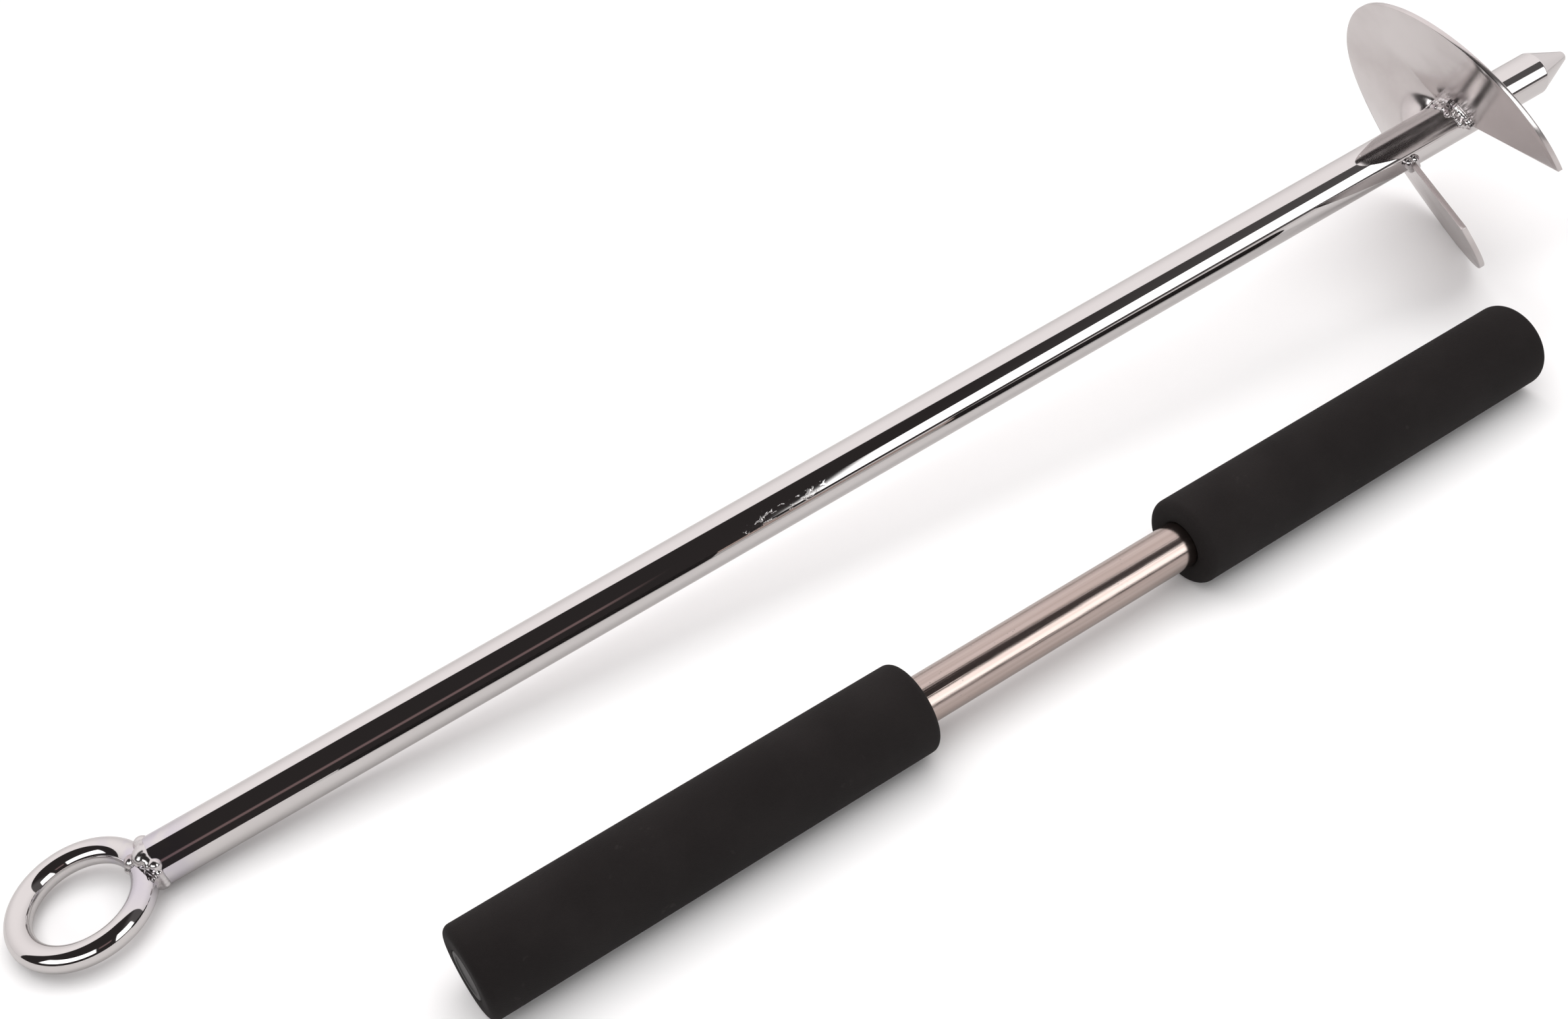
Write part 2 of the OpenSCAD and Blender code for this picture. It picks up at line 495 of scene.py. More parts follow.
@dataclass(frozen=True)
class BrushedSteel(Finish):
    """Warm stainless tube, brushed along its length."""

    name: str = "brushed_tube_steel"
    colour: Colour = (0.55, 0.465, 0.43)
    dull_colour: Colour = (0.48, 0.395, 0.36)
    speck_colour: Colour = (0.30, 0.27, 0.25)
    roughness: float = 0.095
    brushed_roughness: float = 0.08
    brush_scales: Point = (12.0, 2200.0, 2200.0)
    band_scales: Point = (5.0, 420.0, 420.0)
    speck_scale: float = 420.0
    relief: float = 0.00004

    def dress(self, wiring: Wiring, shader: bpy.types.Node, local: Wire) -> None:
        """Adds lengthwise brush lines and small specks."""
        brush = wiring.streaks(local, self.brush_scales, 3.0, 0.6)
        bands = wiring.streaks(local, self.band_scales).rise(0.35, 0.7)
        specks = 1.0 - wiring.cells(local, self.speck_scale).rise(0.10, 0.20)
        sparse = wiring.noise(local, 80.0, 2.0).rise(0.52, 0.6)
        shade = wiring.mix(bands, self.colour, self.dull_colour)
        self.feed(
            wiring,
            shader,
            base_color=wiring.mix(specks * sparse * 0.5, shade, self.speck_colour),
            roughness=self.roughness + brush * self.brushed_roughness,
            normal=wiring.bump(brush, self.relief),
        )


@dataclass(frozen=True)
class GripFoam(Finish):
    """Matte black closed-cell foam, with a fine cell texture and faint scuffs."""

    name: str = "grip_foam"
    colour: Colour = (0.0100, 0.0082, 0.0081)
    pale_colour: Colour = (0.0142, 0.0119, 0.0117)
    scuff_colour: Colour = (0.028, 0.024, 0.023)
    roughness: float = 0.88
    metallic: float = 0.0
    gloss: float = 0.25
    cell_scale: float = 1500.0
    shade_scale: float = 26.0
    scuff_scale: float = 70.0
    relief: float = 0.00022

    def dress(self, wiring: Wiring, shader: bpy.types.Node, local: Wire) -> None:
        """Adds foam cells and faint scuffed spots."""
        shader.inputs["Specular IOR Level"].default_value = self.gloss
        cells = wiring.cells(local, self.cell_scale)
        soft = wiring.noise(local, self.shade_scale, 3.0).rise(0.3, 0.8)
        scuffs = wiring.noise(local, self.scuff_scale, 3.0, 0.7).rise(0.66, 0.74)
        shade = wiring.mix(soft, self.colour, self.pale_colour)
        self.feed(
            wiring,
            shader,
            base_color=wiring.mix(scuffs * 0.4, shade, self.scuff_colour),
            normal=wiring.bump(cells * 0.6 - scuffs * 0.8, self.relief, 0.7),
        )


@dataclass(frozen=True)
class PlugPlastic(Finish):
    """Moulded black plastic."""

    name: str = "plug_plastic"
    colour: Colour = (0.012, 0.012, 0.012)
    roughness: float = 0.5
    metallic: float = 0.0


# ---------------------------------------------------------------- modelling tools


class Bench:
    """Blender's modelling operators, used on one piece at a time."""

    bar_sides = 48
    ball_rounds = 3
    weld_point = 0.01

    @staticmethod
    def clear() -> None:
        """Leaves edit mode and lets go of everything."""
        if bpy.context.object is not None and bpy.context.object.mode != "OBJECT":
            bpy.ops.object.mode_set(mode="OBJECT")
        bpy.ops.object.select_all(action="DESELECT")

    @classmethod
    def take(cls, piece: bpy.types.Object) -> None:
        """Selects one piece and makes it the active one."""
        cls.clear()
        piece.select_set(True)
        bpy.context.view_layer.objects.active = piece

    @staticmethod
    def pick(piece: bpy.types.Object, wanted: Callable[[Vector], bool]) -> None:
        """Selects, in edit mode, the points of a piece that lie where they are wanted.

        Args:
            piece: the piece being modelled.
            wanted: tells whether a point is wanted, from its place.
        """
        bpy.ops.object.mode_set(mode="EDIT")
        bpy.ops.mesh.select_mode(type="VERT")
        bpy.ops.mesh.select_all(action="DESELECT")
        bpy.ops.object.mode_set(mode="OBJECT")
        for vertex in piece.data.vertices:
            vertex.select = wanted(vertex.co)
        bpy.ops.object.mode_set(mode="EDIT")

    @classmethod
    def modify(cls, piece: bpy.types.Object, kind: str, **settings: object) -> None:
        """Adds a modifier, sets it and applies it.

        Args:
            piece: the piece to change.
            kind: the modifier's type.
            settings: the modifier's settings.
        """
        cls.take(piece)
        bpy.ops.object.modifier_add(type=kind)
        modifier = piece.modifiers[-1]
        for name, value in settings.items():
            setattr(modifier, name, value)
        bpy.ops.object.modifier_apply(modifier=modifier.name)

    @staticmethod
    def eased(profile: Profile, size: float, closed: bool) -> Profile:
        """Rounds the corners of a profile a little, and backs each up with a plain stretch.

        Args:
            profile: radius and place of each corner.
            size: how far from a corner its rounding starts.
            closed: whether the profile runs back to its start.

        Returns:
            The longer profile.
        """
        made: Profile = []
        count = len(profile)
        for i, (radius, place) in enumerate(profile):
            if not closed and i in (0, count - 1):
                made.append((radius, place))
                continue
            corner = Vector((radius, place))
            sides = [Vector(profile[i - 1]) - corner, Vector(profile[(i + 1) % count]) - corner]
            reach = min(size, 0.3 * sides[0].length, 0.3 * sides[1].length)
            start, end = (corner + side.normalized() * reach for side in sides)
            back, ahead = (corner + side.normalized() * reach * 1.5 for side in sides)
            curve = [
                start * (1 - t) ** 2 + corner * 2 * t * (1 - t) + end * t**2
                for t in (0.0, 0.25, 0.5, 0.75, 1.0)
            ]
            made += [tuple(p) for p in (back, *curve, ahead)]
        return made

    @classmethod
    def turned(cls, name: str, profile: Profile, sides: int, closed: bool) -> bpy.types.Object:
        """Draws a ring out along X, through the radius and place of each step of a profile.

        Args:
            name: the piece's name.
            profile: radius and place of each ring.
            sides: how many sides a ring has.
            closed: whether the last ring is bridged to the first, as on a tube; if not, both ends
                are filled.

        Returns:
            The piece, still about the X axis.
        """
        cls.clear()
        radius, place = profile[0]
        bpy.ops.mesh.primitive_circle_add(
            vertices=sides,
            radius=radius,
            fill_type="NOTHING",
            location=(place, 0, 0),
            rotation=(0, math.pi / 2, 0),
            enter_editmode=True,
        )
        piece = bpy.context.object
        piece.name = piece.data.name = name
        bpy.ops.mesh.select_all(action="SELECT")
        for next_radius, next_place in profile[1:]:
            bpy.ops.mesh.extrude_region_move(
                TRANSFORM_OT_translate={"value": (next_place - place, 0, 0)}
            )
            scale = next_radius / radius
            bpy.ops.transform.resize(value=(1, scale, scale), center_override=(next_place, 0, 0))
            radius, place = next_radius, next_place
        bpy.ops.mesh.select_all(action="DESELECT")
        bpy.ops.mesh.select_non_manifold()
        if closed:
            bpy.ops.mesh.bridge_edge_loops()
        else:
            bpy.ops.mesh.edge_face_add()
        cls.outwards()
        bpy.ops.object.mode_set(mode="OBJECT")
        return piece

    @staticmethod
    def outwards() -> None:
        """Turns every face outwards, in edit mode."""
        bpy.ops.mesh.select_all(action="SELECT")
        bpy.ops.mesh.normals_make_consistent(inside=False)

    @classmethod
    def bar_ring(cls, name: str, bar: float, ring: float, steps: int) -> bpy.types.Object:
        """Bends a round bar into a ring about the Z axis.

        Args:
            name: the piece's name.
            bar: the bar's radius.
            ring: the ring's radius at the middle of the bar.
            steps: how many steps the bend has.

        Returns:
            The closed ring.
        """
        cls.clear()
        bpy.ops.mesh.primitive_circle_add(
            vertices=cls.bar_sides,
            radius=bar,
            fill_type="NOTHING",
            location=(ring, 0, 0),
            rotation=(math.pi / 2, 0, 0),
            enter_editmode=True,
        )
        piece = bpy.context.object
        piece.name = piece.data.name = name
        bpy.ops.mesh.select_all(action="SELECT")
        bpy.ops.mesh.spin(steps=steps, angle=math.tau, center=(0, 0, 0), axis=(0, 0, 1))
        bpy.ops.mesh.select_all(action="SELECT")
        bpy.ops.mesh.remove_doubles(threshold=cls.weld_point)
        cls.outwards()
        bpy.ops.object.mode_set(mode="OBJECT")
        return piece

    @classmethod
    def beads(
        cls, name: str, drops: Sequence[Drop], voxel: float, rounds: int
    ) -> bpy.types.Object:
        """Fuses overlapping drops of metal into one weld.

        Args:
            name: the piece's name.
            drops: the middle and radius of each drop.
            voxel: how fine the fused surface is.
            rounds: how many times the surface is smoothed.

        Returns:
            The weld.
        """
        cls.clear()
        bpy.ops.mesh.primitive_ico_sphere_add(subdivisions=cls.ball_rounds, radius=1.0)
        first = bpy.context.object
        copies = []
        for middle, radius in drops:
            copy = first.copy()
            copy.data = first.data.copy()
            copy.location = middle
            copy.scale = (radius, radius, radius)
            bpy.context.scene.collection.objects.link(copy)
            copies.append(copy)
        bpy.data.objects.remove(first)
        cls.clear()
        for copy in copies:
            copy.select_set(True)
        piece = bpy.context.view_layer.objects.active = copies[0]
        bpy.ops.object.join()
        bpy.ops.object.transform_apply(location=True, rotation=True, scale=True)
        piece.name = piece.data.name = name
        cls.modify(piece, "REMESH", mode="VOXEL", voxel_size=voxel)
        cls.modify(piece, "SMOOTH", factor=0.5, iterations=rounds)
        return piece

    @classmethod
    def finish(
        cls,
        piece: bpy.types.Object,
        place: Place,
        material: bpy.types.Material,
        sharp: float = 40.0,
    ) -> bpy.types.Object:
        """Puts a piece in its place, with the place in its mesh, and gives it its material.

        Args:
            piece: the modelled piece, in millimetres.
            place: where its sub-assembly lies.
            material: its material.
            sharp: the angle in degrees above which an edge stays sharp.

        Returns:
            The same piece.
        """
        cls.take(piece)
        bpy.ops.object.transform_apply(location=True, rotation=True, scale=True)
        piece.matrix_world = place.matrix
        bpy.ops.object.transform_apply(location=True, rotation=True, scale=True)
        bpy.ops.object.shade_smooth_by_angle(angle=math.radians(sharp))
        piece.data.materials.clear()
        piece.data.materials.append(material)
        return piece


def hand_over(piece: bpy.types.Object, body: Body, slot: Slot, *nodes: str) -> None:
    """Ties a finished piece to its body and hides the nodes that it stands for.

    Args:
        piece: the finished piece.
        body: the body that it rides on.
        slot: the material slot of its finish; not used.
        nodes: the nodes that it stands for.
    """
    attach(piece, body.value)
    if nodes:
        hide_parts(*nodes)
    LOG.info("%s: %d faces, on %s", piece.name, len(piece.data.polygons), body.value)


# ---------------------------------------------------------------- the anchor


@dataclass
class Flight:
    """The slit and bent disc that screws the anchor in, with its two welds."""

    radius: float = 80.5
    thickness: float = 3.0
    hole: float = 12.73
    lead_s: float = 842.0
    trail_s: float = 800.0
    lead_slope: float = 0.413
    trail_slope: float = 0.62
    slit_angle: float = 178.5
    lead_lean: float = 277.2
    trail_lean: float = 309.2
    bend_from: float = 305.0
    bend_to: float = 408.0
    steps: int = 240
    rows: int = 14
    edge: float = 0.35
    slit_gap: float = 0.1
    slope_step: float = 0.5
    weld_foot: float = 13.2
    weld_radius: float = 13.3
    weld_drop: float = 1.7
    weld_swell: float = 1.3
    weld_swell_reach: float = 14.0
    weld_pitch: float = 4.0
    spatter_radius: float = 12.3
    spatter_from: float = 422.0
    spatter_pitch: float = 7.0
    spatter_count: int = 16
    spatter_long: int = 9
    voxel: float = 0.4
    rounds: int = 4
    seed: int = 11

    def middle(self, radius: float, angle: float) -> float:
        """The place along the shaft of the middle of the plate."""
        lead = self.lead_s + radius * self.lead_slope * math.cos(
            math.radians(angle - self.lead_lean)
        )
        trail = self.trail_s + radius * self.trail_slope * math.cos(
            math.radians(angle - self.trail_lean)
        )
        share = (angle - self.bend_from) / (self.bend_to - self.bend_from)
        share = min(max(share, 0.0), 1.0)
        bend = share * share * (3 - 2 * share)
        return trail * (1 - bend) + lead * bend

    def half_along(self, radius: float, angle: float) -> float:
        """Half the plate's thickness, measured along the shaft."""
        step = self.slope_step
        outer, inner = self.middle(radius + step, angle), self.middle(radius - step, angle)
        after, before = self.middle(radius, angle + step), self.middle(radius, angle - step)
        slope_out = (outer - inner) / (2 * step)
        slope_round = (after - before) / (math.radians(2 * step) * radius)
        steep = math.sqrt(1 + slope_out * slope_out + slope_round * slope_round)
        return self.thickness / 2 * steep

    def face(self, radius: float, angle: float, side: Side) -> float:
        """The place along the shaft of one face of the plate."""
        return self.middle(radius, angle) + side.value * self.half_along(radius, angle)

    @staticmethod
    def on_shaft(angle: float, radius: float, along: float) -> Point:
        """A point at an angle and radius about the shaft."""
        turn = math.radians(angle)
        return (along, radius * math.cos(turn), radius * math.sin(turn))

    def build_plate(self) -> bpy.types.Object:
        """Spins an edge into a slit disc, thickens it and bends its two halves apart.

        Returns:
            The plate, in millimetres.
        """
        Bench.clear()
        bpy.ops.mesh.primitive_plane_add(size=1.0, enter_editmode=True)
        plate = bpy.context.object
        plate.name = plate.data.name = "flight_plate"
        Bench.pick(plate, lambda place: place.y > 0)
        bpy.ops.mesh.delete(type="VERT")
        bpy.ops.object.mode_set(mode="OBJECT")
        for vertex, radius in zip(plate.data.vertices, (self.hole, self.radius)):
            vertex.co = self.on_shaft(self.slit_angle, radius, 0.0)
        bpy.ops.object.mode_set(mode="EDIT")
        bpy.ops.mesh.select_all(action="SELECT")
        bpy.ops.mesh.subdivide(number_cuts=self.rows - 1)
        bpy.ops.mesh.spin(
            steps=self.steps,
            angle=-math.radians(360 - self.slit_gap),
            center=(0, 0, 0),
            axis=(1, 0, 0),
            use_auto_merge=False,
        )
        bpy.ops.mesh.select_all(action="SELECT")
        bpy.ops.mesh.extrude_region_move(TRANSFORM_OT_translate={"value": (1, 0, 0)})
        bpy.ops.object.mode_set(mode="OBJECT")
        for vertex in plate.data.vertices:
            x, y, z = vertex.co
            turn = math.degrees(math.atan2(z, y)) - self.slit_angle
            turn = (turn + self.slit_gap / 2) % 360 - self.slit_gap / 2
            side = Side.POINT if x > 0.5 else Side.RING
            vertex.co.x = self.face(math.hypot(y, z), self.slit_angle + turn, side)
        bpy.ops.object.mode_set(mode="EDIT")
        Bench.outwards()
        bpy.ops.object.mode_set(mode="OBJECT")
        Bench.modify(
            plate,
            "BEVEL",
            width=self.edge,
            segments=3,
            limit_method="ANGLE",
            angle_limit=math.radians(50),
        )
        return plate

    def weld_drops(self, side: Side) -> list[Drop]:
        """The drops of the weld at the foot of the plate, bigger near the slit.

        Args:
            side: the side of the plate that the weld is on.

        Returns:
            The middle and radius of each drop.
        """
        chance = random.Random(self.seed + side.value)
        drops = []
        angle = 1.5
        while angle < 358.0:
            from_slit = min(angle, 360 - angle)
            swell = math.exp(-((from_slit / self.weld_swell_reach) ** 2))
            radius = self.weld_drop + self.weld_swell * swell + chance.uniform(-0.25, 0.25)
            turn = self.slit_angle + angle
            foot = self.face(self.weld_foot, turn, side) + side.value * 0.5
            drops.append((self.on_shaft(turn, self.weld_radius, foot), radius))
            angle += self.weld_pitch + chance.uniform(-0.8, 0.8)
        return drops

    def spatter_drops(self) -> list[Drop]:
        """The lumps that run from the weld back along the top of the shaft.

        Returns:
            The middle and radius of each drop.
        """
        chance = random.Random(self.seed)
        drops = []
        for i in range(self.spatter_count):
            angle = self.spatter_from + self.spatter_pitch * i + chance.uniform(-3, 3)
            reach = 1.0 if i < self.spatter_long else 0.5
            back = 2.5 + 5.5 * abs(math.sin(1.7 * i)) * reach
            foot = self.face(self.weld_foot, angle, Side.RING) - back
            middle = self.on_shaft(angle, self.spatter_radius, foot)
            drops.append((middle, chance.uniform(1.5, 2.4)))
        return drops

    def build(self, place: Place) -> None:
        """Builds and dresses the plate and its welds, and hands them over.

        Args:
            place: where the anchor lies.
        """
        steel, weld = PlateSteel().material(place), WeldSteel().material(place)
        plate = Bench.finish(self.build_plate(), place, steel, PLATE_SHARP)
        hand_over(plate, Body.ANCHOR, Slot.PLATE_STEEL, "flight")
        for side, extra in ((Side.RING, self.spatter_drops()), (Side.POINT, [])):
            name = f"flight_weld_{side.name.lower()}_side"
            drops = self.weld_drops(side) + extra
            bead = Bench.beads(f"{name}_bead", drops, self.voxel, self.rounds)
            Bench.finish(bead, place, weld, WELD_SHARP)
            hand_over(bead, Body.ANCHOR, Slot.WELD_STEEL, name)


@dataclass
class Shaft:
    """The eye ring, its weld, the long tube and the point."""

    tube_radius: float = 12.7
    wall: float = 2.0
    shoulder: float = 898.6
    cone: float = 25.0
    nose: float = 3.0
    shank: float = 34.0
    groove: float = 1.0
    spigot: float = 22.0
    bar_radius: float = 6.35
    ring_radius: float = 30.4
    ring_steps: int = 192
    sides: int = 128
    ease: float = 0.25
    point_ease: float = 0.35
    fit_gap: float = 0.02
    groove_gap: float = 0.05
    weld_count: int = 36
    weld_drop: float = 3.2
    weld_lap: float = 0.4
    weld_sag: float = 0.8
    voxel: float = 0.35
    rounds: int = 16
    seed: int = 5

    @property
    def mouth(self) -> float:
        """Where the tube starts, on the outside of the ring."""
        return self.ring_radius + self.bar_radius

    @property
    def tube_end(self) -> float:
        """Where the tube ends and the point's shank starts."""
        return self.shoulder - self.shank

    def build_tube(self) -> bpy.types.Object:
        """The shaft's tube, open at both ends, with eased edges."""
        bore = self.tube_radius - self.wall
        profile = [
            (self.tube_radius, self.mouth),
            (self.tube_radius, self.tube_end),
            (bore, self.tube_end),
            (bore, self.mouth),
        ]
        eased = Bench.eased(profile, self.ease, True)
        return Bench.turned("shaft_tube_skin", eased, self.sides, True)

    def build_point(self) -> bpy.types.Object:
        """The solid point: spigot, groove, shank, cone and blunt nose."""
        bore = self.tube_radius - self.wall - self.fit_gap
        back, seat = self.tube_end - self.spigot, self.tube_end + self.groove_gap
        neck, shank = self.tube_radius - self.groove, self.tube_end + self.groove
        apex = self.shoulder + self.cone
        blunt = self.nose * 0.45
        corners = [
            (1.0, back),
            (bore - 1, back),
            (bore, back + 1),
            (bore, seat),
            (neck, seat),
            (neck, shank),
            (self.tube_radius, shank),
            (self.tube_radius, self.shoulder),
            (self.nose, apex - blunt),
            (self.nose * 0.6, apex - blunt * 0.3),
            (0.3, apex),
        ]
        eased = Bench.eased(corners, self.point_ease, False)
        return Bench.turned("point_body", eased, self.sides, False)

    def weld_drops(self) -> list[Drop]:
        """The lumps of the weld between the eye ring and the tube.

        Returns:
            The middle and radius of each drop.
        """
        chance = random.Random(self.seed)
        drops = []
        for i in range(self.weld_count):
            turn = math.tau * i / self.weld_count
            radius = self.weld_drop + chance.uniform(-0.3, 0.3)
            lap = self.weld_lap + self.weld_sag * max(0.0, -math.sin(turn))
            ring = self.tube_radius + lap - radius
            along = self.mouth - 1.6 + chance.uniform(-0.5, 0.5)
            drops.append(((along, ring * math.cos(turn), ring * math.sin(turn)), radius))
        for y in (-12.2, 12.2):
            for z in (-4, -2, 0, 2, 4):
                drops.append(((self.mouth + 0.2, y, z), 2.0))
        lumps = [
            ((34.6, -1.0, 6.6), 6.4),
            ((28.0, 2.5, 4.8), 3.8),
            ((25.6, 1.5, 2.4), 2.6),
            ((37.0, -9.2, 6.8), 3.4),
            ((35.6, 6.5, 7.4), 4.4),
        ]
        return drops + lumps

    def build(self, place: Place) -> None:
        """Builds and dresses the ring, tube, point and ring weld, and hands them over.

        Args:
            place: where the anchor lies.
        """
        steel, weld = MirrorSteel().material(place), WeldSteel().material(place)
        ring = Bench.bar_ring("eye_ring_bar", self.bar_radius, self.ring_radius, self.ring_steps)
        for piece, node in (
            (ring, "eye_ring"),
            (self.build_tube(), "shaft_tube"),
            (self.build_point(), "point"),
        ):
            Bench.finish(piece, place, steel)
            hand_over(piece, Body.ANCHOR, Slot.POLISHED_STEEL, node)
        bead = Bench.beads("ring_weld_bead", self.weld_drops(), self.voxel, self.rounds)
        Bench.finish(bead, place, weld, WELD_SHARP)
        hand_over(bead, Body.ANCHOR, Slot.WELD_STEEL, "ring_weld")
        self.dress_cap(steel)

    @staticmethod
    def dress_cap(steel: bpy.types.Material) -> None:
        """Gives the disc inside the tube the shaft's steel."""
        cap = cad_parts["shaft_end_cap"]
        cap.data.materials.clear()
        cap.data.materials.append(steel)


# ---------------------------------------------------------------- the handle


@dataclass
class Handle:
    """The loose T-handle: a brushed tube with two foam grips and two end plugs."""

    tube_radius: float = 12.0
    wall: float = 1.5
    length: float = 636.0
    grip_length: float = 236.0
    grip_radius: float = 23.0
    grip_round: float = 4.0
    flange: float = 3.0
    plug_depth: float = 18.0
    plug_sides: int = 64
    sides: int = 112
    grip_steps: int = 40
    ease: float = 0.2
    plug_ease: float = 0.5
    bore_ease: float = 0.8
    fit_gap: float = 0.02

    def build_tube(self) -> bpy.types.Object:
        """The handle's tube, with eased ends."""
        half = self.length / 2 - self.flange
        bore = self.tube_radius - self.wall
        profile = [
            (self.tube_radius, -half),
            (self.tube_radius, half),
            (bore, half),
            (bore, -half),
        ]
        return Bench.turned("handle_bar", Bench.eased(profile, self.ease, True), self.sides, True)

    def build_plug(self, end: End) -> bpy.types.Object:
        """The push-in plug of one end, with a shallow dish in its face.

        Args:
            end: the end that the plug closes.

        Returns:
            The plug, in millimetres.
        """
        half = self.length / 2
        seat = half - self.flange
        inner = self.tube_radius - self.wall
        back, dish, rim = seat - self.plug_depth, half - 0.6, self.tube_radius - 0.1
        corners = [
            (1.0, back),
            (inner - 1.5, back),
            (inner - self.fit_gap, back + 3),
            (inner - self.fit_gap, seat + self.fit_gap),
            (rim, seat + self.fit_gap),
            (rim, half),
            (self.tube_radius - 2.2, half),
            (self.tube_radius - 3.0, dish),
            (1.0, dish),
        ]
        eased = Bench.eased(corners, self.plug_ease, False)
        profile = [(radius, end.value * place) for radius, place in eased]
        return Bench.turned(f"{end.name.lower()}_plug", profile, self.plug_sides, False)

    def build_grip(self, end: End) -> bpy.types.Object:
        """The foam sleeve of one end, with round edges.

        Args:
            end: the end that the sleeve covers.

        Returns:
            The sleeve, in millimetres.
        """
        outer, inner = self.length / 2, self.length / 2 - self.grip_length
        bore, bend = self.tube_radius + self.fit_gap, self.grip_round
        low, straight = self.grip_radius - bend, self.grip_length - 2 * bend
        arc = [math.radians(10 * i) for i in range(10)]
        profile = [(low + bend * math.sin(a), inner + bend * (1 - math.cos(a))) for a in arc]
        profile += [
            (self.grip_radius, inner + bend + straight * i / self.grip_steps)
            for i in range(1, self.grip_steps)
        ]
        profile += [(low + bend * math.cos(a), outer - bend * (1 - math.sin(a))) for a in arc]
        profile += [
            (bore + self.bore_ease, outer),
            (bore, outer - self.bore_ease),
            (bore, inner + self.bore_ease),
            (bore + self.bore_ease, inner),
        ]
        profile = [(radius, end.value * place) for radius, place in profile]
        return Bench.turned(f"{end.name.lower()}_grip_sleeve", profile, self.sides, True)

    def build(self, place: Place) -> None:
        """Builds and dresses the tube, plugs and grips, and hands them over.

        Args:
            place: where the handle lies.
        """
        tube = Bench.finish(self.build_tube(), place, BrushedSteel().material(place))
        hand_over(tube, Body.HANDLE, Slot.BRUSHED_TUBE, "handle_tube")
        foam, plastic = GripFoam().material(place), PlugPlastic().material(place)
        for end in End:
            name = end.name.lower()
            plug = Bench.finish(self.build_plug(end), place, plastic)
            hand_over(plug, Body.HANDLE, Slot.PLUG_PLASTIC, f"{name}_end_plug")
            grip = Bench.finish(self.build_grip(end), place, foam, FOAM_SHARP)
            hand_over(grip, Body.HANDLE, Slot.GRIP_FOAM, f"{name}_grip")


# ---------------------------------------------------------------- the studio


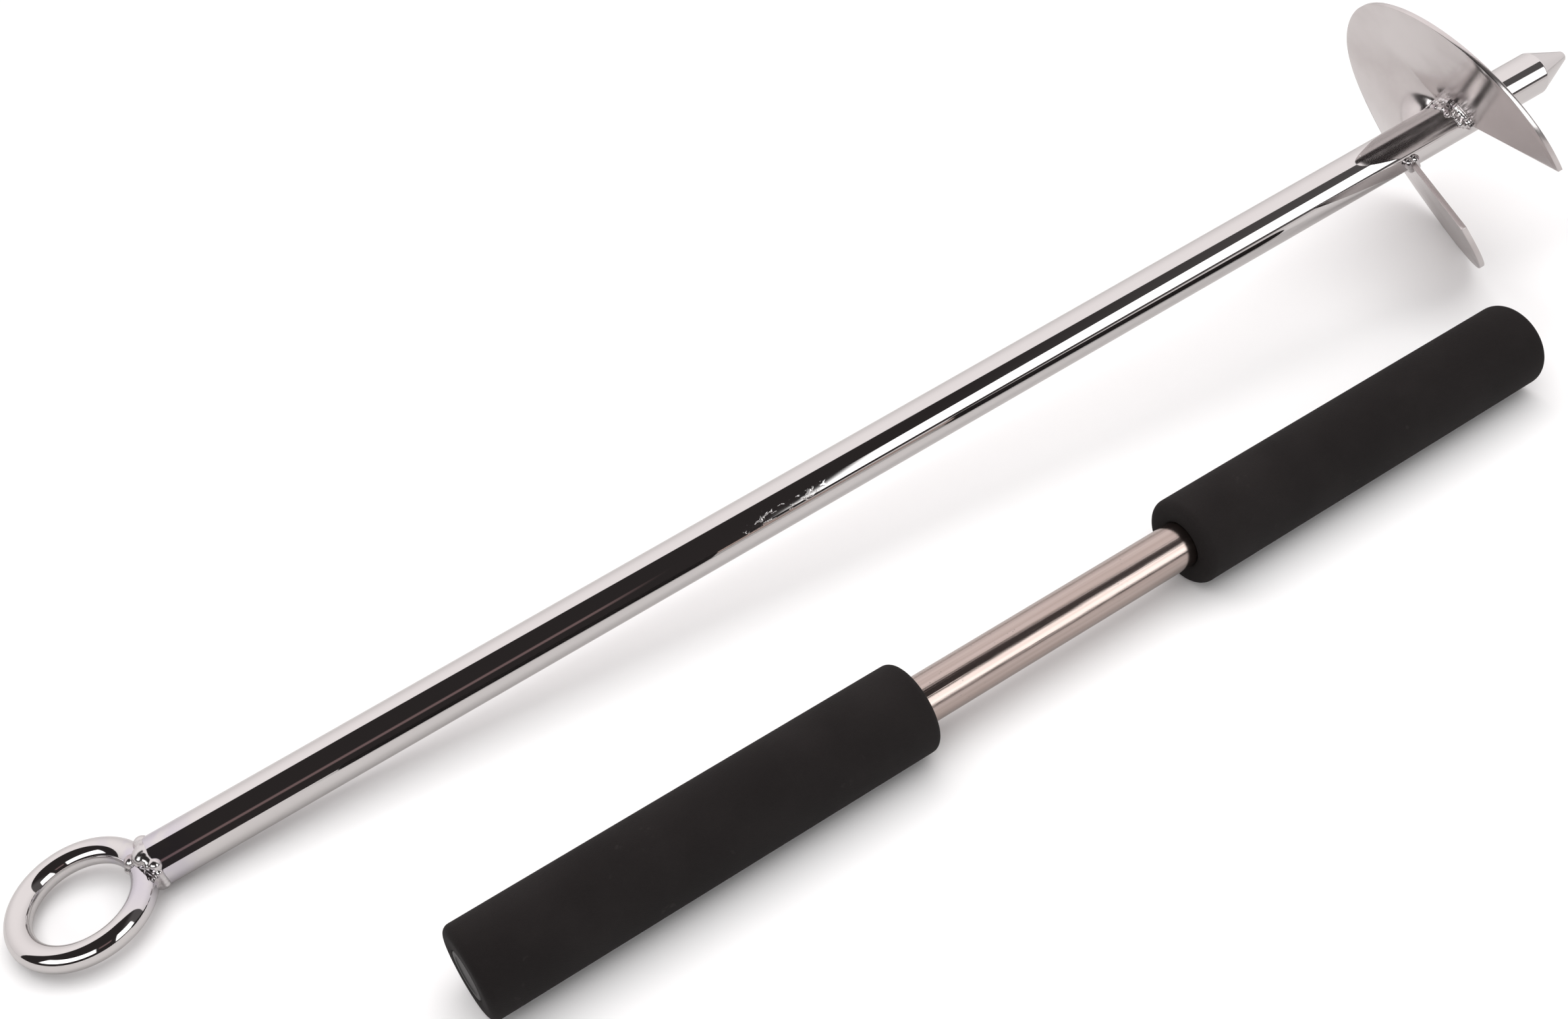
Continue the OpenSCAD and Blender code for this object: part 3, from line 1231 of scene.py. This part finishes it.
@dataclass
class Studio:
    """The floor, the surroundings, the lamp and the camera.

    Lengths are in metres and angles in degrees. Only what mirrors the surroundings shows them.
    """

    floor_half: float = 3.0
    floor_cut: float = -0.27
    camera_place: Point = (-0.37687, -0.66901, 0.69176)
    camera_heading: float = 23.87
    camera_dip: float = 39.74
    camera_roll: float = -10.41
    lens: float = 45.93
    lamp_power: float = 34.0
    lamp_size: float = 2.4
    lamp_height: float = 1.7
    backdrop: Colour = (0.95, 0.95, 0.95)
    paper: Colour = (0.90, 0.895, 0.895)
    mirrored_paper: Colour = (0.62, 0.605, 0.60)
    ceiling_dark: Colour = (0.030, 0.026, 0.026)
    ceiling_pale: Colour = (0.105, 0.098, 0.098)
    wall_low: Colour = (0.83, 0.79, 0.79)
    wall_high: Colour = (1.06, 1.01, 1.01)
    daylight: Colour = (2.1, 2.1, 2.1)
    glow: Colour = (0.20, 0.135, 0.135)
    table_top: Colour = (0.72, 0.68, 0.675)

    def build_floor(self) -> None:
        """Lays the floor in two parts; the front one doesn't show in the steel.

        Where the back one shows in the steel it is a little darker than it is to the camera.
        """
        material = bpy.data.materials.new("floor")
        material.use_nodes = True
        wiring = Wiring(material.node_tree)
        mirrored = wiring.add("ShaderNodeLightPath", None, None, "Is Glossy Ray")
        paper = wiring.mix(mirrored, self.paper, self.mirrored_paper)
        shader = wiring.add(
            "ShaderNodeBsdfPrincipled",
            None,
            {"Base Color": paper, "Roughness": 0.9, "Specular IOR Level": 0.0},
        )
        wiring.add("ShaderNodeOutputMaterial", None, {"Surface": shader})
        spans = {
            "floor_back": (self.floor_cut, self.floor_half),
            "floor_front": (-self.floor_half, self.floor_cut),
        }
        for name, (near, far) in spans.items():
            Bench.clear()
            bpy.ops.mesh.primitive_plane_add(size=1.0, location=(0, (near + far) / 2, 0))
            floor = bpy.context.object
            floor.name = name
            floor.scale = (2 * self.floor_half, far - near, 1)
            floor.data.materials.append(material)
            floor.visible_glossy = name == "floor_back"

    def build_surroundings(self) -> None:
        """Paints what the steel sees: a pale wall, a dark ceiling, two windows and a table."""
        world = bpy.data.worlds.new("surroundings")
        bpy.context.scene.world = world
        world.use_nodes = True
        wiring = Wiring(world.node_tree)
        x, y, z = wiring.parts(wiring.add("ShaderNodeTexCoord", None, None, "Generated"))
        ceiling_line = 0.31 - 0.85 * x.most(-0.05)
        wall = (y - ceiling_line).rise(-0.012, 0.012)
        wall_colour = wiring.mix(z.rise(0.0, 0.8), self.wall_low, self.wall_high)
        ceiling = wiring.mix(x.rise(0.25, 0.55), self.ceiling_dark, self.ceiling_pale)
        seen = wiring.mix(wall, ceiling, wall_colour)
        front = 1.0 - wall
        right = x.rise(0.237, 0.273)
        right_window = right * (-y - x).rise(-0.02, 0.02) * z.window(0.10, 0.63, 0.015)
        left_window = (-x).rise(0.20, 0.24) * (-y).rise(0.02, 0.08) * z.window(0.26, 0.63, 0.02)
        seen = wiring.mix(front * right_window.most(left_window), seen, self.daylight)
        middle = front * (1.0 - x.rise(0.10, 0.15)) * (1.0 - (-x).rise(0.12, 0.18))
        seen = wiring.mix(middle * z.window(0.50, 0.56, 0.08), seen, self.glow)
        table = (1.0 - z.rise(-0.070, -0.055)) * right.most(wall)
        seen = wiring.mix(table, seen, self.table_top)
        camera_ray = wiring.add("ShaderNodeLightPath", None, None, "Is Camera Ray")
        seen = wiring.mix(camera_ray, seen, self.backdrop)
        background = wiring.add("ShaderNodeBackground", None, {"Color": seen, "Strength": 1.0})
        wiring.add("ShaderNodeOutputWorld", None, {"Surface": background})

    def build_lamp(self) -> None:
        """Hangs a big soft lamp over the floor, which doesn't show in the steel."""
        light = bpy.data.lights.new("overhead_lamp", "AREA")
        light.shape = "SQUARE"
        light.size = self.lamp_size
        light.energy = self.lamp_power
        lamp = bpy.data.objects.new("overhead_lamp", light)
        bpy.context.scene.collection.objects.link(lamp)
        lamp.location = (0.0, 0.0, self.lamp_height)
        lamp.visible_glossy = False

    def build_camera(self) -> None:
        """Sets up the camera."""
        data = bpy.data.cameras.new("camera")
        data.lens = self.lens
        data.sensor_width = 36.0
        data.clip_start, data.clip_end = 0.01, 50.0
        camera = bpy.data.objects.new("camera", data)
        bpy.context.scene.collection.objects.link(camera)
        heading, dip = math.radians(self.camera_heading), math.radians(self.camera_dip)
        ahead = Vector(
            (
                math.sin(heading) * math.cos(dip),
                math.cos(heading) * math.cos(dip),
                -math.sin(dip),
            )
        )
        turn = ahead.to_track_quat("-Z", "Y").to_matrix().to_4x4()
        roll = Matrix.Rotation(math.radians(self.camera_roll), 4, "Z")
        camera.matrix_world = Matrix.Translation(self.camera_place) @ turn @ roll
        bpy.context.scene.camera = camera
        bpy.context.scene.view_settings.view_transform = "Standard"

    def build(self) -> None:
        """Builds the whole studio."""
        self.build_floor()
        self.build_surroundings()
        self.build_lamp()
        self.build_camera()


# ---------------------------------------------------------------- putting it together


@dataclass
class Layout:
    """Where the two sub-assemblies lie on the floor, from the sizes of their pieces."""

    shaft: Shaft = field(default_factory=Shaft)
    flight: Flight = field(default_factory=Flight)
    handle: Handle = field(default_factory=Handle)
    weld_lap: float = 1.2
    handle_turn: float = 3.4
    handle_along: float = 448.2
    handle_beside: float = 138.8

    @property
    def climb(self) -> float:
        """The climb of the shaft, which rests on its ring weld and the rim of its flight."""
        corner = self.flight.slit_angle + 90
        drop = -self.flight.radius * math.sin(math.radians(corner))
        along = self.flight.face(self.flight.radius, corner, Side.RING)
        return math.atan((drop - self.weld_radius) / (along - self.weld_start))

    @property
    def weld_radius(self) -> float:
        """The outside radius of the ring weld."""
        return self.shaft.tube_radius + self.weld_lap

    @property
    def weld_start(self) -> float:
        """The place along the shaft where the ring weld touches the floor."""
        return self.shaft.ring_radius + 0.6 * self.shaft.bar_radius - 0.5

    @property
    def shift(self) -> tuple[float, float]:
        """How far the ring's centre lies from the middle of the whole part's box."""
        climb, turn = self.climb, math.radians(self.handle_turn)
        apex = self.shaft.shoulder + self.shaft.cone
        low_x = -(self.shaft.ring_radius * math.cos(climb) + self.shaft.bar_radius)
        high_x = apex * math.cos(climb) + self.shaft.nose * math.sin(climb)
        low_y = -(
            self.handle_beside
            + self.handle.length / 2 * math.sin(turn)
            + self.handle.grip_radius * math.cos(turn)
        )
        return -(low_x + high_x) / 2, -(low_y + self.flight.radius) / 2

    @property
    def anchor_place(self) -> Place:
        """The place of the anchor."""
        x, y = self.shift
        up = self.weld_radius * math.cos(self.climb) - self.weld_start * math.sin(self.climb)
        return Place((x * MM, y * MM, up * MM), (0.0, -self.climb, 0.0))

    @property
    def handle_place(self) -> Place:
        """The place of the handle."""
        x, y = self.shift
        shift = (x + self.handle_along, y - self.handle_beside, self.handle.grip_radius)
        return Place(tuple(MM * v for v in shift), (0.0, 0.0, math.radians(self.handle_turn)))


def main() -> None:
    """Builds the anchor, the handle and the studio."""
    logging.basicConfig(level=logging.INFO, format="%(name)s: %(message)s")
    layout = Layout()
    layout.shaft.build(layout.anchor_place)
    layout.flight.build(layout.anchor_place)
    layout.handle.build(layout.handle_place)
    Studio().build()
    Bench.clear()


if __name__ == "__main__":
    main()
